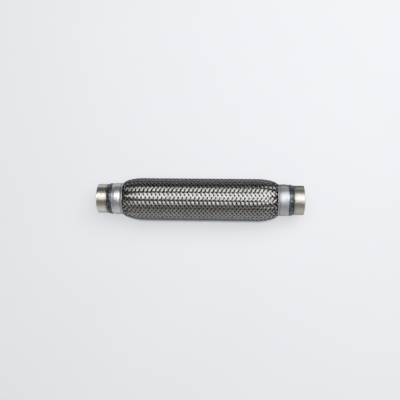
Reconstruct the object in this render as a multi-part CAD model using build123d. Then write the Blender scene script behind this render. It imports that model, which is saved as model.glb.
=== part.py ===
"""Exhaust flex pipe: a braided flexible tube with a plain stub pipe welded on at each end.

The pipe lies along X with its middle at the origin, the inlet at -X and the outlet at +X. Inside
the braid a corrugated bellows keeps the gas in, and an interlocked liner guides it. At each end a
crimped collar holds liner, bellows and braid together, and a weld bead joins the stub pipe to it.
Sizes are in millimetres. A profile is drawn as (x, radius) and turned about X.
"""

from build123d import *
from math import atan, atan2, cos, floor, hypot, pi, sin, sqrt, tan
import os

# Stub pipes
bore_radius = 22.5
pipe_wall = 1.5
stub_projection = 20.0
weld_spacing = 300.0
edge_break = 0.25

# The length of a stub inside its collar is swaged down a little
swage_depth = 0.3
insertion_depth = 10.0

# Weld beads
bead_width = 8.4
bead_height = 1.9
bead_shift = 0.9
bead_cover = 1.3

# What a collar grips: the liner's cuff, the bellows' cuff and the braid's flattened end
liner_cuff_step = 0.3
liner_cuff_wall = 0.6
bellows_wall = 0.4
braid_end_wall = 1.1

# Collars
collar_wall = 1.5
collar_length = 21.4
collar_ease = 0.3
neck_clearance = 0.1
neck_margin = 0.4
neck_run = 4.5
groove_width = 2.4
groove_slope = 1.4
lip_length = 1.0
lip_flare = 1.0
collar_bend = 2.0

# Braid
braid_radius = 34.6
braid_wall = 1.5
weave_relief = 1.0
strands_each_way = 24
strand_row_pitch = 6.6
mouth_row_growth = 0.4
float_cells = 2
gap_rows = (2, 3)
gap_share = 0.27
gap_margin = 0.8
mouth_radius_gain = 0.6
mouth_gap = 0.1
shoulder_length = 30.0
shoulder_fullness = 1.5
shoulder_power = 0.4

# Bellows
bellows_root_radius = 25.6
bellows_crest_radius = 32.2
bellows_pitch = 8.4
bellows_flat = 1.0
bellows_clearance = 0.8
bellows_lead = 5.0
bellows_end_run = 1.5

# Interlocked liner
liner_body_wall = 1.8
liner_pitch = 6.1
liner_groove_width = 1.3
liner_groove_depth = 0.7
liner_end_gap = 1.0
liner_end_run = 1.5

# Radii and places that follow from the sizes above
stub_radius = bore_radius + pipe_wall
swaged_radius = stub_radius - swage_depth
weld_x = weld_spacing / 2
end_x = weld_x + stub_projection
bead_x = weld_x - bead_shift
bead_outer_x = bead_x + bead_width / 2
bead_inner_x = bead_x - bead_width / 2
stub_inner_x = weld_x - insertion_depth

liner_bore_radius = bore_radius - liner_cuff_step
liner_cuff_radius = liner_bore_radius + liner_cuff_wall
bellows_cuff_radius = liner_cuff_radius + bellows_wall
grip_radius = bellows_cuff_radius + braid_end_wall

neck_radius = swaged_radius + neck_clearance
neck_outside = neck_radius + collar_wall
collar_outer_x = weld_x - bead_cover
neck_length = collar_outer_x - bead_inner_x + neck_margin
mouth_x = collar_outer_x - collar_length

braid_mouth_x = mouth_x - mouth_gap
braid_mouth_radius = grip_radius + mouth_radius_gain
shoulder_x = braid_mouth_x - shoulder_length

fold_count = floor(2 * (braid_mouth_x - bellows_lead) / bellows_pitch)
folds_x = fold_count * bellows_pitch / 2


def turned(outline):
    """A ring or tube: a closed outline of (x, radius) turned about the pipe's axis."""
    return revolve(make_face(outline), Axis.X)


def sheet_outline(outer_line, wall):
    """The closed outline of a sheet-metal wall that lies inside its outer line."""
    return offset(outer_line, amount=wall, side=Side.LEFT, kind=Kind.INTERSECTION, closed=True)


def both_ways(outlet_points):
    """An outlet-side line of (x, radius) from the end inwards, carried on to the inlet's end."""
    return outlet_points + [(-x, radius) for x, radius in reversed(outlet_points)]


def make_stub_pipe():
    """Plain tube with broken edges at its cut end and a swaged length inside the collar."""
    return turned(Polyline(
        (stub_inner_x, bore_radius),
        (end_x - edge_break, bore_radius),
        (end_x, bore_radius + edge_break),
        (end_x, stub_radius - edge_break),
        (end_x - edge_break, stub_radius),
        (bead_outer_x, stub_radius),
        (bead_outer_x, swaged_radius),
        (stub_inner_x, swaged_radius),
        close=True,
    ))


def make_weld_bead():
    """Fillet bead in the corner between the collar's neck and the stub pipe."""
    stub_toe = (bead_outer_x, stub_radius)
    crown = (bead_x, swaged_radius + bead_height)
    neck_toe = (bead_inner_x, neck_outside)
    seat = Polyline(
        neck_toe,
        (collar_outer_x, neck_outside),
        (collar_outer_x, swaged_radius),
        (bead_outer_x, swaged_radius),
        stub_toe,
    )
    return turned(seat + ThreePointArc(stub_toe, crown, neck_toe))


def make_collar():
    """Sheet-metal ring: necked to the stub, crimped onto the braid and flared at its mouth."""
    groove_radius = grip_radius + collar_wall
    body_radius = groove_radius + collar_ease
    groove_inner_x = mouth_x + lip_length + groove_slope
    groove_outer_x = groove_inner_x + groove_width
    outer_line = FilletPolyline(
        (collar_outer_x, neck_outside),
        (collar_outer_x - neck_length, neck_outside),
        (collar_outer_x - neck_length - neck_run, body_radius),
        (groove_outer_x + groove_slope, body_radius),
        (groove_outer_x, groove_radius),
        (groove_inner_x, groove_radius),
        (mouth_x + lip_length, groove_radius + lip_flare),
        (mouth_x, groove_radius + lip_flare),
        radius=collar_bend,
    )
    return turned(sheet_outline(outer_line, collar_wall))


def shoulder_radius(depth):
    """Radius of the braid's crowns at a depth inboard of its mouth: a steep, rounded shoulder."""
    share = min(max(depth / shoulder_length, 0), 1)
    rise = (1 - (1 - share) ** shoulder_fullness) ** shoulder_power
    return braid_mouth_radius + (braid_radius - braid_mouth_radius) * rise


def shoulder_line(steps=3000):
    """(depth, radius, run along the surface) down one shoulder, finest at its steep mouth."""
    line = [(0.0, braid_mouth_radius, 0.0)]
    for k in range(1, steps + 1):
        depth = shoulder_length * (k / steps) ** 3
        radius = shoulder_radius(depth)
        last_depth, last_radius, run = line[-1]
        line.append((depth, radius, run + hypot(depth - last_depth, radius - last_radius)))
    return line


def weave_stations():
    """(x, radius, slope) of every half row of the weave.

    The rows are even along the barrel and grow longer towards the mouth: a row there is
    1 + mouth_row_growth times as long, and the excess falls off as the square down the shoulder.
    """
    line = shoulder_line()
    shoulder_run = line[-1][2]
    half_row = strand_row_pitch / 2
    spread = sqrt(mouth_row_growth)
    shoulder_rows = shoulder_run / half_row * atan(spread) / spread
    all_rows = shoulder_rows + shoulder_x / half_row
    half_rows = round(all_rows)
    outlet_side = []
    at = 0
    for row in range(half_rows):
        place = row * all_rows / half_rows
        if place >= shoulder_rows:
            outlet_side.append(((all_rows - place) * half_row, braid_radius, 0.0))
            continue
        run = shoulder_run * (1 - tan(atan(spread) * (1 - place / shoulder_rows)) / spread)
        while line[at + 1][2] < run:
            at += 1
        (depth, radius, start), (next_depth, next_radius, end) = line[at], line[at + 1]
        share = (run - start) / (end - start)
        outlet_side.append((
            braid_mouth_x - depth - share * (next_depth - depth),
            radius + share * (next_radius - radius),
            atan2(next_radius - radius, next_depth - depth),
        ))
    inlet_side = [(-x, radius, -slope) for x, radius, slope in reversed(outlet_side)]
    return outlet_side + [(0.0, braid_radius, 0.0)] + inlet_side


def below_crowns(station, depth):
    """(x, radius) at a depth under the braid's crowns, square to its surface."""
    x, radius, slope = station
    return x - depth * sin(slope), radius - depth * cos(slope)


def weave_points(stations):
    """The lattice of the weave: low corners between strands, and a crown on each crossing."""
    columns = 2 * strands_each_way
    points = []
    for row, station in enumerate(stations):
        on_rim = row in (0, len(stations) - 1)
        ring = []
        for column in range(columns):
            is_corner = (row + column) % 2 == 0
            x, radius = below_crowns(station, weave_relief if is_corner and not on_rim else 0)
            angle = 2 * pi * (column + 0.5) / columns
            ring.append(Vector(x, radius * cos(angle), radius * sin(angle)))
        points.append(ring)
    return points


def one_float(crown, other):
    """True where two crossings, a row and a column apart, lie under the same stretch of strand.

    Each strand runs over two and under two. The two directions take turns round the pipe, so that
    their stretches stand in columns along it, like chevrons.
    """
    (_, column), (_, next_column) = sorted((crown, other))
    first = 0 if next_column > column else 2 * float_cells - 1
    return column % (2 * float_cells) == first


def weave_triangles(last_row):
    """Corner places of the ridged wall: strands are hip roofs whose ridges join their crowns."""
    triangles = []
    for row in range(last_row):
        for column in range(row % 2, 2 * strands_each_way, 2):
            for side in (1, -1):
                low, next_low = (row, column), (row + 1, column + side)
                crown, other = (row + 1, column), (row, column + side)
                if one_float(crown, other):
                    triangles += [(crown, other, low), (crown, other, next_low)]
                else:
                    triangles += [(low, next_low, crown), (low, next_low, other)]
    return triangles


def braid_inner_line(stations):
    """The braid's inner side as (x, radius) from the outlet's flattened end to the inlet's."""
    throat_x, _ = below_crowns(stations[0], braid_wall)
    shoulder = [s for s in stations[1:] if s[0] > shoulder_x]
    return both_ways(
        [(stub_inner_x, bellows_cuff_radius), (throat_x, bellows_cuff_radius)]
        + [below_crowns(s, braid_wall) for s in shoulder]
        + [(shoulder_x, braid_radius - braid_wall)]
    )


def make_gap(stations, row, column):
    """A diamond prism through the wall at a low corner, where the strands part."""
    x, radius, slope = stations[row]
    inlet_way, outlet_way = stations[row + 1], stations[row - 1]
    half_length = gap_share * hypot(
        inlet_way[0] - outlet_way[0], inlet_way[1] - outlet_way[1]) / 2
    half_width = gap_share * 2 * pi * radius / (2 * strands_each_way)
    angle = 2 * pi * (column + 0.5) / (2 * strands_each_way)
    outward = Vector(sin(slope), cos(slope) * cos(angle), cos(slope) * sin(angle))
    around = Vector(0, -sin(angle), cos(angle))
    crown_spot = Vector(x, radius * cos(angle), radius * sin(angle))
    under_wall = Plane(crown_spot - outward * (braid_wall + gap_margin), x_dir=around, z_dir=outward)
    diamond = Polyline(
        (half_width, 0), (0, half_length), (-half_width, 0), (0, -half_length), close=True)
    return extrude(under_wall * make_face(diamond), braid_wall + 2 * gap_margin)


def make_gaps(stations):
    """The gaps that open between the strands where the weave turns in to each mouth."""
    last = len(stations) - 1
    return [
        make_gap(stations, row, column)
        for near_mouth in gap_rows
        for row in (near_mouth, last - near_mouth)
        for column in range(row % 2, 2 * strands_each_way, 2)
    ]


def turned_band(start, end):
    return Face.revolve(Edge.make_line((*start, 0), (*end, 0)), 360, Axis.X)


def rim_plane(x):
    return Plane((x, 0, 0), x_dir=(0, 1, 0), z_dir=(1, 0, 0))


def make_braid():
    """Woven wall of flat-sided ridges outside, smooth inside, with a flattened end each side."""
    stations = weave_stations()
    points = weave_points(stations)
    columns = 2 * strands_each_way
    faces = [
        Face(Wire.make_polygon([points[row][column % columns] for row, column in corners]))
        for corners in weave_triangles(len(stations) - 1)
    ]
    inner_line = braid_inner_line(stations)
    faces += [turned_band(a, b) for a, b in zip(inner_line, inner_line[1:])]
    for side, rim_points in ((1, points[0]), (-1, points[-1])):
        rim = rim_plane(side * braid_mouth_x)
        end = rim_plane(side * stub_inner_x)
        faces.append(Face(Wire.make_polygon(rim_points), [Wire.make_circle(grip_radius, rim)]))
        faces.append(turned_band((rim.origin.X, grip_radius), (end.origin.X, grip_radius)))
        faces.append(Face(
            Wire.make_circle(grip_radius, end), [Wire.make_circle(bellows_cuff_radius, end)]))
    return Solid(Shell(faces)) - make_gaps(stations)


def make_bellows():
    """Corrugated tube with plain cuffs; its end folds are lower, to pass under the shoulders."""
    outer_line = []
    for k in range(fold_count):
        crest_x = folds_x - (k + 0.5) * bellows_pitch
        depth = braid_mouth_x - abs(crest_x) - bellows_flat
        room = shoulder_radius(depth) - braid_wall - bellows_clearance
        crest_radius = min(bellows_crest_radius, room)
        outer_line += [
            (crest_x + bellows_pitch / 2 - bellows_flat, bellows_root_radius),
            (crest_x + bellows_flat, crest_radius),
            (crest_x - bellows_flat, crest_radius),
            (crest_x - bellows_pitch / 2 + bellows_flat, bellows_root_radius),
        ]
    cuff_x = folds_x + bellows_end_run
    line = Polyline(
        (stub_inner_x, bellows_cuff_radius),
        (cuff_x, bellows_cuff_radius),
        (folds_x, bellows_root_radius),
        *outer_line,
        (-folds_x, bellows_root_radius),
        (-cuff_x, bellows_cuff_radius),
        (-stub_inner_x, bellows_cuff_radius),
    )
    return turned(sheet_outline(line, bellows_wall))


def make_liner():
    """Interlocked tube: a seam groove for each turn of its strip, and a plain cuff each end."""
    body_x = folds_x - liner_end_gap
    cuff_x = body_x + liner_end_run
    body_radius = liner_bore_radius + liner_body_wall
    groove_radius = liner_bore_radius + liner_groove_depth
    count = floor(2 * body_x / liner_pitch)
    inner_line = [(-stub_inner_x, liner_bore_radius)]
    for k in range(count):
        seam_x = (k - (count - 1) / 2) * liner_pitch
        groove_start = seam_x - liner_groove_width / 2
        groove_end = seam_x + liner_groove_width / 2
        inner_line += [
            (groove_start, liner_bore_radius),
            (groove_start, groove_radius),
            (groove_end, groove_radius),
            (groove_end, liner_bore_radius),
        ]
    return turned(Polyline(
        *both_ways([(stub_inner_x, liner_cuff_radius), (cuff_x, liner_cuff_radius),
                    (body_x, body_radius)]),
        *inner_line,
        (stub_inner_x, liner_bore_radius),
        close=True,
    ))


def make_part():
    """Every sub-part by name. The inlet's pieces are the outlet's, mirrored."""
    nodes = {
        "outer_braid": make_braid(),
        "bellows": make_bellows(),
        "interlock_liner": make_liner(),
    }
    for name, outlet_piece in (
        ("stub_pipe", make_stub_pipe()),
        ("weld_bead", make_weld_bead()),
        ("end_collar", make_collar()),
    ):
        nodes[f"outlet_{name}"] = outlet_piece
        nodes[f"inlet_{name}"] = mirror(outlet_piece, Plane.YZ)
    return nodes


if __name__ == "__main__":
    os.makedirs("parts", exist_ok=True)
    for name, solid in make_part().items():
        export_step(solid, f"parts/{name}.step")
        print(f"{name}: {solid.volume:.0f} mm3, {len(solid.faces())} faces")
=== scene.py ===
import math

import bpy
import numpy as np
from mathutils import Matrix, Vector


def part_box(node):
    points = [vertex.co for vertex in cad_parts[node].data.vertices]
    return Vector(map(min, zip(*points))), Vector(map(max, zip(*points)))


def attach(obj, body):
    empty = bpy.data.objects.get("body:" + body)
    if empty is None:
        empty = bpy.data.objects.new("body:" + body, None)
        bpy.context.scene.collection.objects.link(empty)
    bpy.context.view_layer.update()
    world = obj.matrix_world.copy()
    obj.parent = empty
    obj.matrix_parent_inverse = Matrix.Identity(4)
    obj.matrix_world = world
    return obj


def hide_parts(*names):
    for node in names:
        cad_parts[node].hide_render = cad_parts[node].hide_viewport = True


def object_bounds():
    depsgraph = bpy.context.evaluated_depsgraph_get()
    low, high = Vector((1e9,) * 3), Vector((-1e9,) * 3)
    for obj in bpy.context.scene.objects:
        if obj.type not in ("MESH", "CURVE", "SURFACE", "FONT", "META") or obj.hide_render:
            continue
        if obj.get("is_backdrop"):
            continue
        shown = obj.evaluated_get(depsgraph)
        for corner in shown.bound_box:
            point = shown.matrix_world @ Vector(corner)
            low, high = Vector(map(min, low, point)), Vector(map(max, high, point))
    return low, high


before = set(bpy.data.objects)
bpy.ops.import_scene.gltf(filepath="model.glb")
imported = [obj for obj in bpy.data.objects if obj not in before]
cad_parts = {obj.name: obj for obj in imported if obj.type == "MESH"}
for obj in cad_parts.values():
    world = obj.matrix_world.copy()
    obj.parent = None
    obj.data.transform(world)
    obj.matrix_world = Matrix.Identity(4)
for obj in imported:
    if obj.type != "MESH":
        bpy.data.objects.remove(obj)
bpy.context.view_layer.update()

mm = 0.001
fullTurn = 2 * np.pi
dice = np.random.default_rng(451)  # every uneven thing below draws from this, so each run is the same
print("frame loaded:", ", ".join(sorted(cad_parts)))


# Helpers for meshes and objects

def newMesh(name, spots, corners, sizes):
    # corners lists the faces' points one face after another, and sizes how many each face has
    mesh = bpy.data.meshes.new(name)
    mesh.vertices.add(len(spots))
    mesh.vertices.foreach_set("co", np.asarray(spots, np.float32).ravel())
    mesh.loops.add(len(corners))
    mesh.loops.foreach_set("vertex_index", np.asarray(corners, np.int32))
    mesh.polygons.add(len(sizes))
    starts = np.concatenate([[0], np.cumsum(sizes)[:-1]])
    mesh.polygons.foreach_set("loop_start", starts.astype(np.int32))
    mesh.polygons.foreach_set("loop_total", np.asarray(sizes, np.int32))
    mesh.update(calc_edges=True)
    mesh.shade_smooth()
    return mesh


def storeMarks(mesh, name, values):
    marks = mesh.attributes.new(name, "FLOAT", "POINT")
    marks.data.foreach_set("value", np.asarray(values, np.float32).ravel())


def addObject(name, data):
    thing = bpy.data.objects.new(name, data)
    bpy.context.scene.collection.objects.link(thing)
    return thing


def addPiece(mesh, material):
    piece = addObject(mesh.name, mesh)
    mesh.materials.append(material)
    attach(piece, "root")
    return piece


def dress(nodeName, material):
    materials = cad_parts[nodeName].data.materials
    materials.clear()
    materials.append(material)


def wander(turn, size, waves):
    # A slow, smooth drift over one turn, round the pipe or from end to end of a strand
    drift = np.zeros_like(turn)
    for count in waves:
        swing = dice.normal(0, 0.5)
        drift += swing * np.sin(count * turn + dice.uniform(0, fullTurn))
    return size * drift


# Helpers for colours and nodes

def grey(level):
    return (level, level, level, 1)


def dimmed(colour, level):
    return tuple(level * channel for channel in colour)


def rgba(colour):
    # A plain colour gets its alpha, and a socket stays as it is
    return (*colour, 1) if isinstance(colour, tuple) else colour


def addNode(tree, kind, feeds=None, **settings):
    # feeds gives each input, by name or number, a plain value or another node's output
    node = tree.nodes.new(kind)
    for name, value in settings.items():
        setattr(node, name, value)
    for name, value in (feeds or {}).items():
        if isinstance(value, bpy.types.NodeSocket):
            tree.links.new(value, node.inputs[name])
        else:
            node.inputs[name].default_value = value
    return node


def calculate(tree, operation, *values):
    return addNode(tree, "ShaderNodeMath", dict(enumerate(values)), operation=operation).outputs[0]


def calculateVector(tree, operation, *values):
    return addNode(tree, "ShaderNodeVectorMath", dict(enumerate(values)), operation=operation).outputs[0]


def rescale(tree, value, fromLow, fromHigh, toLow, toHigh):
    node = addNode(tree, "ShaderNodeMapRange", {0: value, 1: fromLow, 2: fromHigh, 3: toLow, 4: toHigh})
    return node.outputs[0]


def ramp(tree, value, stops):
    # stops gives places from 0 to 1, each with its grey level
    node = addNode(tree, "ShaderNodeValToRGB", {"Fac": value})
    elements = node.color_ramp.elements
    while len(elements) < len(stops):
        elements.new(0.5)
    for element, (place, level) in zip(elements, stops):
        element.position = place
        element.color = grey(level)
    return node.outputs["Color"]


def blendColour(tree, share, first, second, way="MIX"):
    feeds = {0: share, 6: rgba(first), 7: rgba(second)}
    return addNode(tree, "ShaderNodeMix", feeds, data_type="RGBA", blend_type=way).outputs[2]


def noise(tree, place, scale, detail, **more):
    feeds = {"Vector": place, "Scale": scale, "Detail": detail, **more}
    return addNode(tree, "ShaderNodeTexNoise", feeds).outputs["Fac"]


def mark(tree, name):
    return addNode(tree, "ShaderNodeAttribute", attribute_name=name).outputs["Fac"]


def objectPlace(tree):
    return addNode(tree, "ShaderNodeTexCoord").outputs["Object"]


def stretchedPlace(tree, alongScale, roundScale):
    # The place with the pipe's axis scaled apart from its sides
    stretch = addNode(tree, "ShaderNodeCombineXYZ", {"X": alongScale, "Y": roundScale, "Z": roundScale})
    return calculateVector(tree, "MULTIPLY", objectPlace(tree), stretch.outputs[0])


def fromMiddle(tree, place):
    # How far along the axis a place lies from the pipe's middle
    return calculate(tree, "ABSOLUTE", addNode(tree, "ShaderNodeSeparateXYZ", {0: place}).outputs["X"])


def awayFrom(tree, value, centre):
    return calculate(tree, "ABSOLUTE", calculate(tree, "SUBTRACT", value, centre))


def newGroup(name, inputs, output, outputKind="NodeSocketFloat"):
    # A node group that takes plain numbers and gives one thing that changes over the surface
    group = bpy.data.node_groups.new(name, "ShaderNodeTree")
    for inputName in inputs:
        group.interface.new_socket(inputName, in_out="INPUT", socket_type="NodeSocketFloat")
    group.interface.new_socket(output, in_out="OUTPUT", socket_type=outputKind)
    given = group.nodes.new("NodeGroupInput").outputs
    return group, given, group.nodes.new("NodeGroupOutput").inputs[output]


def useGroup(tree, group, **values):
    return addNode(tree, "ShaderNodeGroup", values, node_tree=group).outputs[0]


def newMaterial(name, plain):
    # plain holds the numbers that are the same all over the surface
    material = bpy.data.materials.new(name)
    material.use_nodes = True
    tree = material.node_tree
    shader = tree.nodes["Principled BSDF"]
    for socketName, value in plain.items():
        shader.inputs[socketName].default_value = value
    return material, tree, shader


def addBump(tree, shader, height, look):
    bump = addNode(tree, "ShaderNodeBump", {
        "Height": height, "Strength": look["bumpStrength"], "Distance": look["bumpDepth"]})
    tree.links.new(bump.outputs["Normal"], shader.inputs["Normal"])


# Shared effects. Each is one node group, and the materials place it with their own values.

effects = {
    "grainDetail": 3.0,
    "grainRoughness": 0.6,
    "grooveScale": 60000.0,
    "grooveRoundScale": 60.0,
    "grooveDetail": 2.0,
    "stainDetail": 4.0,
    "stainRoughness": 0.55,
    "stainDistortion": 0.6,
    "heatScale": 90.0,
    "heatDetail": 3.0,
    "sideShadeScale": 55.0,
    "sideShadeDetail": 3.0,
    "sideShadeEdge": (0.3, 0.7),
    "sideShadeDrift": 9.0,       # degrees to either side
    "sideShadeFull": 0.65,       # share of its reach over which the painted shade is whole
}


def makeTurnedGrain(look):
    # Fine lines round the pipe, as a lathe, a roll or a brush leaves them
    group, given, result = newGroup("turnedGrain", ("alongScale", "roundScale"), "lines")
    place = stretchedPlace(group, given["alongScale"], given["roundScale"])
    lines = noise(group, place, 1.0, look["grainDetail"], Roughness=look["grainRoughness"])
    group.links.new(lines, result)
    return group


def makeBrushedNormal(look):
    # Grooves round the pipe, too fine to see one by one, lean the surface to and fro along the axis
    group, given, result = newGroup("brushedNormal", ("lean",), "normal", "NodeSocketVector")
    place = stretchedPlace(group, look["grooveScale"], look["grooveRoundScale"])
    grooves = noise(group, place, 1.0, look["grooveDetail"])
    lean = calculate(group, "MULTIPLY", calculate(group, "SUBTRACT", grooves, 0.5), given["lean"])
    push = addNode(group, "ShaderNodeCombineXYZ", {"X": lean}).outputs[0]
    normal = addNode(group, "ShaderNodeNewGeometry").outputs["Normal"]
    leaning = calculateVector(group, "ADD", normal, push)
    group.links.new(calculateVector(group, "NORMALIZE", leaning), result)
    return group


def makeUnevenStain(look):
    # Soft patches, as handling, oil and heat leave on bare steel
    group, given, result = newGroup("unevenStain", ("patchScale", "low", "high"), "patch")
    patches = noise(
        group, objectPlace(group), given["patchScale"], look["stainDetail"],
        Roughness=look["stainRoughness"], Distortion=look["stainDistortion"])
    group.links.new(rescale(group, patches, given["low"], given["high"], 0.0, 1.0), result)
    return group


def makeWeldHeat(look):
    # How near the weld a spot is, with a wandering front: 1 at the weld, 0 beyond the reach
    group, given, result = newGroup("weldHeat", ("reach", "wander"), "heat")
    place = objectPlace(group)
    uneven = noise(group, place, look["heatScale"], look["heatDetail"])
    drift = calculate(group, "MULTIPLY", calculate(group, "SUBTRACT", uneven, 0.5), given["wander"])
    front = calculate(group, "ADD", awayFrom(group, fromMiddle(group, place), weldX), drift)
    share = calculate(group, "DIVIDE", front, given["reach"])
    group.links.new(rescale(group, share, 0.0, 1.0, 1.0, 0.0), result)
    return group


def makePaintedShadeSide(look):
    # Painted shade, brownish, on one side of the pipe, its edge uneven: 1 in its middle, 0 beyond its
    # reach
    group, given, result = newGroup("paintedShadeSide", ("side", "reach"), "sideShade")
    place = objectPlace(group)
    parts = addNode(group, "ShaderNodeSeparateXYZ", {0: place}).outputs
    angle = calculate(group, "DEGREES", calculate(group, "ARCTAN2", parts["Y"], parts["Z"]))
    uneven = noise(group, place, look["sideShadeScale"], look["sideShadeDetail"])
    drift = rescale(group, uneven, *look["sideShadeEdge"], -look["sideShadeDrift"], look["sideShadeDrift"])
    away = calculate(group, "ADD", awayFrom(group, angle, given["side"]), drift)
    share = calculate(group, "DIVIDE", away, given["reach"])
    group.links.new(rescale(group, share, look["sideShadeFull"], 1.0, 1.0, 0.0), result)
    return group


beadLow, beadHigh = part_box("outlet_weld_bead")
weldX = (beadLow.x + beadHigh.x) / 2
turnedGrain = makeTurnedGrain(effects)
brushedNormal = makeBrushedNormal(effects)
unevenStain = makeUnevenStain(effects)
weldHeat = makeWeldHeat(effects)
paintedShadeSide = makePaintedShadeSide(effects)
print("shared effects ready")


# Stub pipes: warm bright steel, drawn and lightly polished, browned by the weld

stubSteel = {
    # level is painted light: the inlet's steel is made brighter than the outlet's for the light each end
    # gets
    "inlet": {"level": 1.40, "sideShade": 0.0, "rougher": 0.0},
    "outlet": {"level": 1.02, "sideShade": 0.95, "rougher": 0.17},
    "metallic": 0.85,
    "rimTint": 0.45,
    "bright": (0.600, 0.585, 0.545),
    "dull": (0.560, 0.530, 0.475),
    "heated": (0.370, 0.280, 0.190),     # straw brown
    # The colour of painted shade on the side from the top towards the back
    "shadeColour": (0.130, 0.110, 0.085),
    "grain": {"alongScale": 1500.0, "roundScale": 9.0},
    "grainEdge": (0.35, 0.65),
    "stain": {"patchScale": 45.0, "low": 0.40, "high": 0.70},
    "heat": {"reach": 9.5 * mm, "wander": 2.0 * mm},
    "heatEdge": (0.08, 0.62),
    "heatShare": 0.75,
    "sideShadePlace": {"side": 92.0, "reach": 52.0},  # degrees, from the top towards the back
    "roughLow": 0.15,
    "roughHigh": 0.21,
    "brushLean": 2.2,
}

# Collars: cool satin steel with fine lines round them

collarSteel = {
    # level is painted light: the inlet's collar is made brighter than the outlet's for the light each
    # end gets
    "inlet": {"level": 1.34, "sideShade": 0.0, "rougher": 0.0},
    "outlet": {"level": 1.02, "sideShade": 0.84, "rougher": 0.15},
    "metallic": 0.82,
    "rimTint": 0.45,
    "bright": (0.63, 0.64, 0.67),
    "dull": (0.53, 0.54, 0.57),
    "heated": (0.30, 0.31, 0.36),        # blued
    # The colour of painted shade at the back and in the crimp groove
    "shadeColour": (0.17, 0.165, 0.165),
    "grain": {"alongScale": 2400.0, "roundScale": 12.0},
    "grainEdge": (0.35, 0.65),
    "stain": {"patchScale": 38.0, "low": 0.42, "high": 0.72},
    "heat": {"reach": 7.0 * mm, "wander": 1.5 * mm},
    "heatEdge": (0.30, 0.75),
    "heatShare": 0.7,
    "sideShadePlace": {"side": 92.0, "reach": 50.0},
    "roughLow": 0.26,
    "roughHigh": 0.40,
    "brushLean": 1.8,
    "groove": (0.9 * mm, 4.9 * mm),      # the crimp groove, from the collar's mouth towards the weld
    "grooveCore": 0.4,                   # share of its width that is dark in full
    "grooveShade": 0.45,
}


def grooveShadeAndDirt(tree, look):
    # Painted shade and dirt darken the crimp groove
    inner, outer = look["groove"]
    half = (outer - inner) / 2
    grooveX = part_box("outlet_end_collar")[0].x + (inner + outer) / 2
    away = awayFrom(tree, fromMiddle(tree, objectPlace(tree)), grooveX)
    return rescale(tree, away, half, look["grooveCore"] * half, 0.0, look["grooveShade"])


def makeEndMaterial(name, look, end):
    # The steel of a stub pipe or a collar, heated by the weld, brightened at each end by a level of its
    # own as painted light, and at the outlet given painted shade at the back
    own = look[end]
    material, tree, shader = newMaterial(
        name, {"Metallic": look["metallic"], "Specular Tint": grey(look["rimTint"])})
    patch = useGroup(tree, unevenStain, **look["stain"])
    colour = blendColour(
        tree, patch, dimmed(look["bright"], own["level"]), dimmed(look["dull"], own["level"]))
    heat = useGroup(tree, weldHeat, **look["heat"])
    tintShare = rescale(tree, heat, *look["heatEdge"], 0.0, look["heatShare"])
    colour = blendColour(tree, tintShare, colour, look["heated"])
    # Painted shade at the outlet, on the side from the top towards the back
    sideShade = useGroup(tree, paintedShadeSide, **look["sideShadePlace"])
    sideShade = calculate(tree, "MULTIPLY", sideShade, own["sideShade"])
    colour = blendColour(tree, sideShade, colour, look["shadeColour"])
    if "groove" in look:
        colour = blendColour(tree, grooveShadeAndDirt(tree, look), colour, look["shadeColour"])
    tree.links.new(colour, shader.inputs["Base Color"])
    lines = useGroup(tree, turnedGrain, **look["grain"])
    roughLow, roughHigh = look["roughLow"] + own["rougher"], look["roughHigh"] + own["rougher"]
    rough = rescale(tree, lines, *look["grainEdge"], roughLow, roughHigh)
    tree.links.new(rough, shader.inputs["Roughness"])
    tree.links.new(useGroup(tree, brushedNormal, lean=look["brushLean"]), shader.inputs["Normal"])
    return material


def finishEnds():
    for end in ("inlet", "outlet"):
        dress(f"{end}_stub_pipe", makeEndMaterial(f"{end}StubSteel", stubSteel, end))
        dress(f"{end}_end_collar", makeEndMaterial(f"{end}CollarSteel", collarSteel, end))


finishEnds()
print("stub pipes and collars finished")


# Bellows and liner: both are inside, and show only past the strands and through the bore

innerSteel = {
    # The bellows' near-black colour is painted shade: it shows only past the strands, where shade falls
    "bellows": {"colour": (0.05, 0.048, 0.045), "roughLow": 0.39, "roughHigh": 0.53},
    "liner": {"colour": (0.42, 0.41, 0.40), "roughLow": 0.30, "roughHigh": 0.44},
    "dulled": 0.72,
    "grain": {"alongScale": 1800.0, "roundScale": 20.0},
    "grainEdge": (0.35, 0.65),
    "stain": {"patchScale": 80.0, "low": 0.40, "high": 0.70},
    "bumpStrength": 0.5,
    "bumpDepth": 0.01 * mm,
}


def makeInnerMaterial(look, piece):
    own = look[piece]
    material, tree, shader = newMaterial(f"{piece}Steel", {"Metallic": 1.0})
    lines = useGroup(tree, turnedGrain, **look["grain"])
    patch = useGroup(tree, unevenStain, **look["stain"])
    colour = blendColour(tree, patch, own["colour"], dimmed(own["colour"], look["dulled"]))
    tree.links.new(colour, shader.inputs["Base Color"])
    rough = rescale(tree, lines, *look["grainEdge"], own["roughLow"], own["roughHigh"])
    tree.links.new(rough, shader.inputs["Roughness"])
    addBump(tree, shader, lines, look)
    return material


dress("bellows", makeInnerMaterial(innerSteel, "bellows"))
dress("interlock_liner", makeInnerMaterial(innerSteel, "liner"))
print("bellows and liner finished")


# Braid: flat strands of fine wire, two over and two under, on the line of the CAD's crowns.
# Its lattice is counted in columns round the pipe, two to a strand, and in half rows along it.

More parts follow.
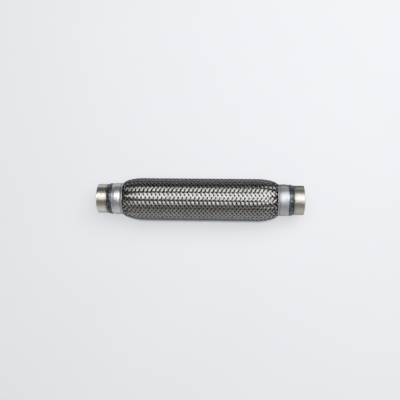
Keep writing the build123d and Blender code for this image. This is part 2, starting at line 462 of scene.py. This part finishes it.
braid = {
    "strandsEachWay": 24,
    "rowPitch": 6.6 * mm,
    "mouthRowGrowth": 0.40,
    "mouthRadius": 24.9 * mm,
    "mouthGap": 0.1 * mm,
    "shoulderLength": 30.0 * mm,
    "shoulderFullness": 1.5,
    "shoulderPower": 0.4,
    "tuckLength": 3.2 * mm,  # how far the strands go on under the collar's lip
    "tuckDrop": 0.8 * mm,
    "outlinePoints": (60, 2000, 400),  # along the tuck, the shoulder and the straight part
    "shoulderCrowding": 3,   # packs them towards the mouth, where the outline turns most
    "lineStep": 0.05 * mm,
    "lineSmoothing": 29,     # steps
    "wiresInStrand": 10,
    "wireRise": 0.11 * mm,
    "crown": 0.22 * mm,      # how much lower a strand's edges lie than its middle
    "strandThickness": 0.35 * mm,
    "underside": ((1.0, 1.0), (0.4, 0.25), (-0.4, 0.25), (-1.0, 1.0)),  # shares of half width and crown
    "halfWidth": 0.850,      # in columns, where 1 would close every gap
    "mouthHalfWidth": 0.48,
    "mouthReach": 5.0,       # half rows over which the strands part
    "looseFrom": 2.0,        # half rows from the mouth where they are loosest
    "columnsInWeave": 4,     # one float and one stretch under
    "floatHeight": 0.45 * mm,
    "mouthFloatHeight": 0.75 * mm,
    "stepsInHalfRow": 3,
    "driftWaves": (2, 3, 5, 8),  # from end to end
    "widthWander": 0.02,
    "sideWander": 0.035,     # in columns
    "mouthSideWander": 0.26,
    "liftWander": 0.03 * mm,
    "inletCalm": 0.25,       # share of the mouth's wander and taller floats that the inlet has
    "mouthShadeReach": (0.2, 0.7),  # shortest and longest reach, in half rows
    "mouthShadeFade": 1.5,         # where the painted shade ends, counted in those reaches
}


def braidLine(look):
    # The braid's outline from its tucked outlet end to the middle, as evenly spaced arrays
    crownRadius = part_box("outer_braid")[1].z
    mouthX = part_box("outlet_end_collar")[0].x - look["mouthGap"]
    tuckPoints, shoulderPoints, straightPoints = look["outlinePoints"]
    tuck = np.linspace(1, 0, tuckPoints)[:-1]
    share = np.linspace(0, 1, shoulderPoints) ** look["shoulderCrowding"]
    rise = (1 - (1 - share) ** look["shoulderFullness"]) ** look["shoulderPower"]
    straight = np.linspace(mouthX - look["shoulderLength"], 0, straightPoints)[1:]
    x = np.concatenate([
        mouthX + look["tuckLength"] * tuck,
        mouthX - look["shoulderLength"] * share,
        straight])
    radius = np.concatenate([
        look["mouthRadius"] - look["tuckDrop"] * tuck,
        look["mouthRadius"] + (crownRadius - look["mouthRadius"]) * rise,
        np.full(len(straight), crownRadius)])
    run = np.concatenate([[0], np.cumsum(np.hypot(np.diff(x), np.diff(radius)))])
    mouthRun = run[len(tuck)]
    shoulderRun = run[len(tuck) + len(share) - 1] - mouthRun
    evenRun = np.arange(0, run[-1], look["lineStep"])
    smoother = np.hanning(look["lineSmoothing"])[1:-1]
    smoother /= smoother.sum()
    edge = len(smoother) // 2
    x, radius = (
        np.convolve(np.pad(np.interp(evenRun, run, line), edge, mode="edge"), smoother, "valid")
        for line in (x, radius))
    fromMouth = evenRun - mouthRun
    growth = look["mouthRowGrowth"] * np.clip(1 - fromMouth / shoulderRun, 0, 1) ** 2
    halfRowLength = look["rowPitch"] / 2 * (1 + growth)
    rows = np.concatenate([[0], np.cumsum(np.diff(evenRun) / halfRowLength[1:])])
    rows -= np.interp(0, fromMouth, rows)
    halfRows = round(rows[-1])
    rows *= np.where(rows > 0, halfRows / rows[-1], 1)
    slope = np.arctan2(np.gradient(radius), -np.gradient(x))
    return {"row": rows, "x": x, "radius": radius, "slope": slope, "halfRows": halfRows}


def onBraid(line, row, height):
    # x and radius at a height over the outline, for half rows counted from the outlet's mouth
    total = 2 * line["halfRows"]
    atInlet = row > line["halfRows"]
    folded = np.where(atInlet, total - row, row)
    x, radius, slope = (np.interp(folded, line["row"], line[key]) for key in ("x", "radius", "slope"))
    x = x + height * np.sin(slope)
    return np.where(atInlet, -x, x), radius + height * np.cos(slope)


def strandSection(look):
    # A row of wires over a plain underside, from edge to edge and back
    across = np.linspace(-1, 1, 2 * look["wiresInStrand"] + 1)
    isWireTop = np.arange(len(across)) % 2
    level = look["wireRise"] * isWireTop - look["crown"] * across ** 2
    underAcross, underCurve = np.array(look["underside"]).T
    underLevel = -look["strandThickness"] - look["crown"] * underCurve
    return np.concatenate([across, underAcross]), np.concatenate([level, underLevel])


def weaveWave(phase):
    # 1 in the middle of a float, -1 in the middle of the stretch under the others, and flat at both
    swing = np.cos(fullTurn * phase)
    return swing * (1.5 - 0.5 * swing ** 2)


def strandTube(look, line, number, way):
    # One strand: way 1 climbs a column for each half row, way -1 falls one.
    # A point is x, y, z, its depth under the crowns, and how near it is to a gap or the crimp.
    total = 2 * line["halfRows"]
    firstRow = line["row"][0]
    steps = round((total - 2 * firstRow) * look["stepsInHalfRow"])
    rows = np.linspace(firstRow, total - firstRow, steps + 1)
    turn = fullTurn * rows / rows[-1]
    waves = look["driftWaves"]
    across, level = strandSection(look)
    fromMouth = np.minimum(rows, total - rows)
    parting = np.clip(1 - fromMouth / look["mouthReach"], 0, 1)
    halfWidth = look["halfWidth"] + (look["mouthHalfWidth"] - look["halfWidth"]) * parting
    halfWidth = halfWidth * (1 + wander(turn, look["widthWander"], waves))
    calm = np.where(rows < total / 2, 1.0, look["inletCalm"])
    loose = calm * parting * np.clip(fromMouth / look["looseFrom"], 0, 1)
    centre = way * rows + 2 * number + 1 + wander(turn, look["sideWander"], waves)
    centre += loose * wander(turn, look["mouthSideWander"], waves)
    column = centre[:, None] + halfWidth[:, None] * across
    row = rows[:, None]
    # A crossing strand's edge lies aslant, so each float ends later on one side than on the other
    floatMiddle = 0.5 if way > 0 else 2.5
    overs = ((column + centre[:, None]) / 2 - floatMiddle) / look["columnsInWeave"]
    taller = (look["mouthFloatHeight"] - look["floatHeight"]) * calm * parting
    lift = look["floatHeight"] + taller[:, None]
    drift = wander(turn, look["liftWander"], waves)[:, None]
    height = lift * (weaveWave(overs) - 1) - look["wireRise"] + level + drift
    x, radius = onBraid(line, row + np.zeros_like(column), height)
    angle = fullTurn * (column + 0.5) / (2 * look["strandsEachWay"])
    betweenFalling, betweenRising = (
        np.sin(np.pi * (column + side * row - 1) / 2) ** 2 for side in (1, -1))
    # Painted shade lies near the gaps between strands, and where the strands go down into the crimp,
    # further out on some than on others
    mouthShadeRows = dice.uniform(*look["mouthShadeReach"])
    paintedShade = np.clip(look["mouthShadeFade"] - fromMouth / mouthShadeRows, 0, 1)[:, None]
    besideGap = np.maximum(betweenFalling * betweenRising, paintedShade)
    return np.stack([x, radius * np.cos(angle), radius * np.sin(angle), -height, besideGap], axis=-1)


def strandMesh(name, tubes, slantsBack):
    # Each tube, an array (rings, points round a ring, 3), becomes a closed skin with a cap on each end.
    # A face is split in two from its first corner, so that corner goes with the strand's slant.
    rings, around = tubes.shape[1:3]
    spots, corners, sizes = [], [], []
    for number, tube in enumerate(tubes):
        index = (number * rings * around) + np.arange(rings * around).reshape(rings, around)
        beside = np.roll(index, -1, axis=1)
        quads = [index[:-1], index[1:], beside[1:], beside[:-1]]
        if slantsBack:
            quads = quads[1:] + quads[:1]
        corners += [np.stack(quads, axis=-1).ravel(), index[0], index[-1][::-1]]
        sizes += [4] * ((rings - 1) * around) + [around, around]
        spots.append(tube.reshape(-1, 3))
    return newMesh(name, np.concatenate(spots), np.concatenate(corners), sizes)


def markWires(mesh, ringsInStrand, around, wires):
    # A sharp line between neighbouring wires, and a tone of its own for each wire
    ends = np.empty(2 * len(mesh.edges), np.int32)
    mesh.edges.foreach_get("vertices", ends)
    first, second = (ends.reshape(-1, 2) % around).T
    valley = (first == second) & ((first % 2 == 0) | (first > 2 * wires))
    sharp = mesh.attributes.new("sharp_edge", "BOOLEAN", "EDGE")
    sharp.data.foreach_set("value", valley)
    spot = np.arange(len(mesh.vertices))
    wire = np.minimum(spot % around, 2 * wires) // 2
    strand = spot // (around * ringsInStrand)
    storeMarks(mesh, "wireTone", dice.uniform(0, 1, (strand[-1] + 1, wires + 1))[strand, wire])


wireSteel = {
    "bright": (0.52, 0.515, 0.505),
    "dull": (0.39, 0.385, 0.375),
    # The colour of painted shade deep in the braid, by its gaps and at the crimp
    "paintedShade": (0.015, 0.015, 0.014),
    "rimTint": 0.0,
    "toneShare": 0.6,        # how much of the colour goes by wire, and the rest by patch
    "stain": {"patchScale": 70.0, "low": 0.38, "high": 0.72},
    "roughLow": 0.20,
    "roughHigh": 0.30,
    "depthShadeRange": (0.55, 1.05),  # mm under the crowns, over which painted shade deepens
    "gapEdge": (0.30, 0.54),
}


def makeWireMaterial(look):
    material, tree, shader = newMaterial(
        "braidWire", {"Metallic": 1.0, "Specular Tint": grey(look["rimTint"])})
    tone = mark(tree, "wireTone")
    patch = useGroup(tree, unevenStain, **look["stain"])
    patchShare = calculate(tree, "MULTIPLY", patch, 1 - look["toneShare"])
    share = calculate(tree, "MULTIPLY_ADD", tone, look["toneShare"], patchShare)
    colour = blendColour(tree, share, look["bright"], look["dull"])
    # Painted shade: darker deeper under the crowns, next to the gaps and at the crimp
    low = rescale(tree, mark(tree, "tucked"), *look["depthShadeRange"], 0.0, 1.0)
    gap = rescale(tree, mark(tree, "besideGap"), *look["gapEdge"], 0.0, 1.0)
    colour = blendColour(tree, calculate(tree, "MAXIMUM", low, gap), colour, look["paintedShade"])
    tree.links.new(colour, shader.inputs["Base Color"])
    rough = rescale(tree, tone, 0.0, 1.0, look["roughLow"], look["roughHigh"])
    tree.links.new(rough, shader.inputs["Roughness"])
    return material


def makeBraid(look):
    material = makeWireMaterial(wireSteel)
    line = braidLine(look)
    half = look["strandsEachWay"] // 2
    for way, wayName in ((1, "rising"), (-1, "falling")):
        for part in (0, 1):
            numbers = range(part * half, (part + 1) * half)
            tubes = np.stack([strandTube(look, line, number, way) for number in numbers])
            mesh = strandMesh(f"braid_{wayName}_strands_{part + 1}", tubes[..., :3], way < 0)
            storeMarks(mesh, "tucked", tubes[..., 3] / mm)
            storeMarks(mesh, "besideGap", tubes[..., 4])
            markWires(mesh, *tubes.shape[1:3], look["wiresInStrand"])
            piece = addPiece(mesh, material)
            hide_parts("outer_braid")
    print("braid woven:", line["halfRows"] * 2, "half rows,", tubes.shape[1], "rings in a strand")


makeBraid(braid)


# Weld beads: a row of overlapping ripples with uneven toes

weldBead = {
    "crownRise": 0.40 * mm,
    "crownFullness": 0.8,
    "toeWander": 0.50 * mm,
    "outerToeWaves": (3, 7, 13, 22, 37),  # round the pipe
    "innerToeWaves": (4, 9, 15, 26, 41),
    "toeSink": 0.05 * mm,
    "ripples": 58,
    "rippleRise": 0.16 * mm,
    "rippleCrest": 0.75,     # where a ripple is highest, as a share of it
    "rippleBow": 0.9,
    "rippleWander": 0.25,    # in ripples
    "rippleWaves": (5, 11, 19),
    "lumpRise": 0.10 * mm,
    "lumpWaves": (6, 10, 17, 29),
    "neckStep": 1.3 * mm,    # the collar's neck over the stub pipe
    "sink": 0.5 * mm,        # how far the bead goes into what it joins
    "stepsRound": 696,
    "stepsAcross": 15,
}


def beadTube(look, side):
    # Sections round the pipe, each from the inner toe to the outer and back underneath.
    # A point is x, y, z and how near it is to a toe.
    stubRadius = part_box("outlet_stub_pipe")[1].z
    neckRadius = stubRadius + look["neckStep"]
    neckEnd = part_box("outlet_end_collar")[1].x - weldX
    halfWidth = (beadHigh.x - beadLow.x) / 2
    turn = np.linspace(0, fullTurn, look["stepsRound"], endpoint=False)
    outerToe = halfWidth + wander(turn, look["toeWander"], look["outerToeWaves"])
    innerToe = -halfWidth + wander(turn, look["toeWander"], look["innerToeWaves"])
    middle, half = (outerToe + innerToe) / 2, (outerToe - innerToe) / 2
    across = np.linspace(-1, 1, look["stepsAcross"])
    x = middle[:, None] + half[:, None] * across
    base = np.interp(x, (neckEnd, halfWidth), (neckRadius, stubRadius))
    dome = (1 - across ** 2) ** look["crownFullness"]
    passed = turn * look["ripples"] / fullTurn + wander(turn, look["rippleWander"], look["rippleWaves"])
    ripple = (passed[:, None] + look["rippleBow"] * across ** 2) % 1
    crest = look["rippleCrest"]
    ripple = np.where(ripple < crest, ripple / crest, (1 - ripple) / (1 - crest))
    lump = wander(turn, look["lumpRise"], look["lumpWaves"])[:, None]
    radius = base + dome * (look["crownRise"] + lump + look["rippleRise"] * (ripple - 0.5))
    radius[:, [0, -1]] = base[:, [0, -1]] - look["toeSink"]
    x = np.concatenate([x, x[:, [-1, 0]]], axis=1)
    radius = np.concatenate([radius, base[:, [-1, 0]] - look["sink"]], axis=1)
    toe = np.concatenate([np.abs(across), [1.0, 1.0]]) + np.zeros_like(x)
    y, z = radius * np.cos(turn)[:, None], radius * np.sin(turn)[:, None]
    return np.stack([side * (weldX + x), y, z, toe], axis=-1)


def ringMesh(name, tube, mirrored):
    # The sections join up all the way round the pipe, and a mirrored ring's faces are turned out again
    sections, around, _ = tube.shape
    index = np.arange(sections * around).reshape(sections, around)
    after = np.roll(index, -1, axis=0)
    quads = np.stack([index, after, np.roll(after, -1, axis=1), np.roll(index, -1, axis=1)], axis=-1)
    if mirrored:
        quads = quads[..., ::-1]
    return newMesh(name, tube.reshape(-1, 3), quads.ravel(), np.full(sections * around, 4))


beadSteel = {
    "metallic": 0.65,
    "blue": (0.054, 0.073, 0.097),
    "pale": (0.23, 0.30, 0.35),
    "paleStain": {"patchScale": 260.0, "low": 0.42, "high": 0.68},
    "brown": (0.13, 0.085, 0.055),
    "brownStain": {"patchScale": 75.0, "low": 0.55, "high": 0.72},
    "brownShare": 0.6,
    # Painted shade along both toes, where the bead meets the pipe
    "toeShade": (0.025, 0.030, 0.038),
    "toeShadeFrom": 0.55,       # share of the way from the middle to a toe
    "toeShadeShare": 0.9,
    "grainScale": 2600.0,
    "grainDetail": 2.0,
    "grainEdge": (0.45, 0.62),
    "roughLow": 0.24,
    "roughHigh": 0.46,
    "bumpStrength": 0.4,
    "bumpDepth": 0.03 * mm,
}


def makeBeadMaterial(look):
    material, tree, shader = newMaterial("weldMetal", {"Metallic": look["metallic"]})
    pale = useGroup(tree, unevenStain, **look["paleStain"])
    colour = blendColour(tree, pale, look["blue"], look["pale"])
    brown = useGroup(tree, unevenStain, **look["brownStain"])
    brown = calculate(tree, "MULTIPLY", brown, look["brownShare"])
    colour = blendColour(tree, brown, colour, look["brown"])
    # Painted shade darkens the bead towards its toes
    tintShare = rescale(tree, mark(tree, "toe"), look["toeShadeFrom"], 1.0, 0.0, look["toeShadeShare"])
    colour = blendColour(tree, tintShare, colour, look["toeShade"])
    tree.links.new(colour, shader.inputs["Base Color"])
    # Small pits and grains, as on rough weld metal
    grains = noise(tree, objectPlace(tree), look["grainScale"], look["grainDetail"])
    spots = rescale(tree, grains, *look["grainEdge"], 0.0, 1.0)
    rough = rescale(tree, spots, 0.0, 1.0, look["roughLow"], look["roughHigh"])
    tree.links.new(rough, shader.inputs["Roughness"])
    addBump(tree, shader, spots, look)
    return material


def makeBeads(look):
    material = makeBeadMaterial(beadSteel)
    for end, side in (("inlet", -1), ("outlet", 1)):
        tube = beadTube(look, side)
        mesh = ringMesh(f"{end}_weld_ripples", tube[..., :3], side < 0)
        storeMarks(mesh, "toe", tube[..., 3])
        piece = addPiece(mesh, material)
        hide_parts(f"{end}_weld_bead")
    print("weld beads laid")


makeBeads(weldBead)


# Studio: a pale floor, one large soft light above and a dim room round it

studio = {
    "floorHalf": 5.0,
    "paper": {"Roughness": 0.85, "Specular IOR Level": 0.15},
    "paperColour": (0.42, 0.425, 0.438),
    "paperDulled": 0.985,
    "paperStain": {"patchScale": 3.0, "low": 0.3, "high": 0.7},
    "paperGlow": 1.24,
    "mirroredGlow": 0.74,
    "mirroredCentre": (0.0, -0.30, 0.0),
    "mirroredEdge": (0.25, 1.2),  # metres from there
    "shadeReach": 15.0 * mm,
    "shadeDepth": 13.0,      # power of the openness
    "shadeSamples": 8,
    "keySize": (1.80, 1.30),
    "keyPlace": (0.46, 0.45, 1.20),
    "keyTurn": 41.0,         # degrees round the vertical
    "keyPower": 18.6,
    "room": (                # from the front over the top to the back
        (0.00, 1.05), (0.08, 0.80), (0.17, 0.38), (0.25, 0.22), (0.36, 0.20), (0.50, 0.24),
        (0.67, 0.10), (0.75, 0.03), (0.90, 0.015), (1.00, 0.03)),
    "sides": (               # from left to right
        (0.00, 1.6), (0.12, 0.5), (0.22, 0.08), (0.33, 0.10), (0.42, 1.0), (0.58, 1.0), (0.67, 0.15),
        (0.78, 0.15), (1.00, 0.8)),
    "roomTint": (1.0, 0.97, 0.93),
    "backdrop": (0.60, 0.61, 0.63),
}


def makePaper(look):
    material, tree, shader = newMaterial("palePaper", look["paper"])
    patch = useGroup(tree, unevenStain, **look["paperStain"])
    colour = blendColour(
        tree, patch, look["paperColour"], dimmed(look["paperColour"], look["paperDulled"]))
    tree.links.new(colour, shader.inputs["Base Color"])
    tree.links.new(colour, shader.inputs["Emission Color"])
    # The paper keeps its tone where it is looked at. Metal mirrors it paler in front of the pipe
    # than far off or behind.
    away = addNode(
        tree, "ShaderNodeVectorMath", {0: objectPlace(tree), 1: look["mirroredCentre"]},
        operation="DISTANCE").outputs["Value"]
    inMirror = rescale(tree, away, *look["mirroredEdge"], look["mirroredGlow"], 0.0)
    path = addNode(tree, "ShaderNodeLightPath").outputs
    mirrored = calculate(tree, "MULTIPLY", path["Is Glossy Ray"], inMirror)
    seen = calculate(tree, "MAXIMUM", path["Is Camera Ray"], mirrored)
    # Close under the pipe the paper gets no light from the side
    openness = addNode(
        tree, "ShaderNodeAmbientOcclusion", {"Distance": look["shadeReach"]},
        samples=look["shadeSamples"]).outputs["AO"]
    shade = calculate(tree, "POWER", openness, look["shadeDepth"])
    glow = calculate(tree, "MULTIPLY", shade, look["paperGlow"])
    tree.links.new(calculate(tree, "MULTIPLY", seen, glow), shader.inputs["Emission Strength"])
    return material


def makeFloor(look):
    half = look["floorHalf"]
    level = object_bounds()[0].z
    spots = [(-half, -half, level), (half, -half, level), (half, half, level), (-half, half, level)]
    mesh = newMesh("floor", spots, range(4), [4])
    mesh.materials.append(makePaper(look))
    floor = addObject("floor", mesh)
    floor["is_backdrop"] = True


def makeKeyLight(look):
    lamp = bpy.data.lights.new("softBox", "AREA")
    lamp.shape = "RECTANGLE"
    lamp.size, lamp.size_y = look["keySize"]
    lamp.energy = look["keyPower"]
    holder = addObject("softBox", lamp)
    holder.location = look["keyPlace"]
    holder.rotation_euler.z = math.radians(look["keyTurn"])


def makeRoom(look):
    # The room's brightness by how far a direction leans from overhead, front to back and side to side
    world = bpy.data.worlds.new("room")
    bpy.context.scene.world = world
    world.use_nodes = True
    tree = world.node_tree
    towards = addNode(tree, "ShaderNodeTexCoord").outputs["Generated"]
    parts = addNode(tree, "ShaderNodeSeparateXYZ", {0: towards}).outputs
    lean = calculate(tree, "ARCTAN2", parts["Y"], calculate(tree, "MAXIMUM", parts["Z"], 0.0))
    frontToBack = ramp(tree, rescale(tree, lean, -math.pi / 2, math.pi / 2, 0.0, 1.0), look["room"])
    leftToRight = ramp(tree, rescale(tree, parts["X"], -1.0, 1.0, 0.0, 1.0), look["sides"])
    level = blendColour(tree, 1.0, frontToBack, leftToRight, "MULTIPLY")
    light = blendColour(tree, 1.0, level, look["roomTint"], "MULTIPLY")
    isLookedAt = addNode(tree, "ShaderNodeLightPath").outputs["Is Camera Ray"]
    colour = blendColour(tree, isLookedAt, light, look["backdrop"])
    tree.links.new(colour, tree.nodes["Background"].inputs["Color"])


camera = {
    "elevation": 82.5,
    "distance": 0.925,
    "lens": 50.0,
    "sensor": 36.0,
    "rightEndNearer": 3.30,      # degrees
    "leanInPicture": 0.62,       # degrees, the right end lower
    "pictureMiddle": 200,
    "pipeMiddle": (200.25, 199.35),
    "pixelSize": 1 / 604.0,      # metres on the pipe's axis for one pixel of 400
}


def makeCamera(look):
    rise = math.radians(look["elevation"])
    turn = math.radians(look["rightEndNearer"])
    backward = Vector((math.sin(turn), -math.cos(rise), math.sin(rise))).normalized()
    acrossPicture = (Vector((1, 0, 0)) - backward * backward.x).normalized()
    right = Matrix.Rotation(math.radians(look["leanInPicture"]), 3, backward) @ acrossPicture
    up = backward.cross(right)
    offX, offY = (look["pictureMiddle"] - pixel for pixel in look["pipeMiddle"])
    offCentre = (right * offX - up * offY) * look["pixelSize"]
    lens = bpy.data.cameras.new("camera")
    lens.lens = look["lens"]
    lens.sensor_width = look["sensor"]
    holder = addObject("camera", lens)
    turned = Matrix((right, up, backward)).transposed().to_4x4()
    holder.matrix_world = Matrix.Translation(offCentre + backward * look["distance"]) @ turned
    bpy.context.scene.camera = holder


makeFloor(studio)
makeKeyLight(studio)
makeRoom(studio)
makeCamera(camera)
bpy.context.scene.view_settings.view_transform = "Standard"
print("studio and camera set")
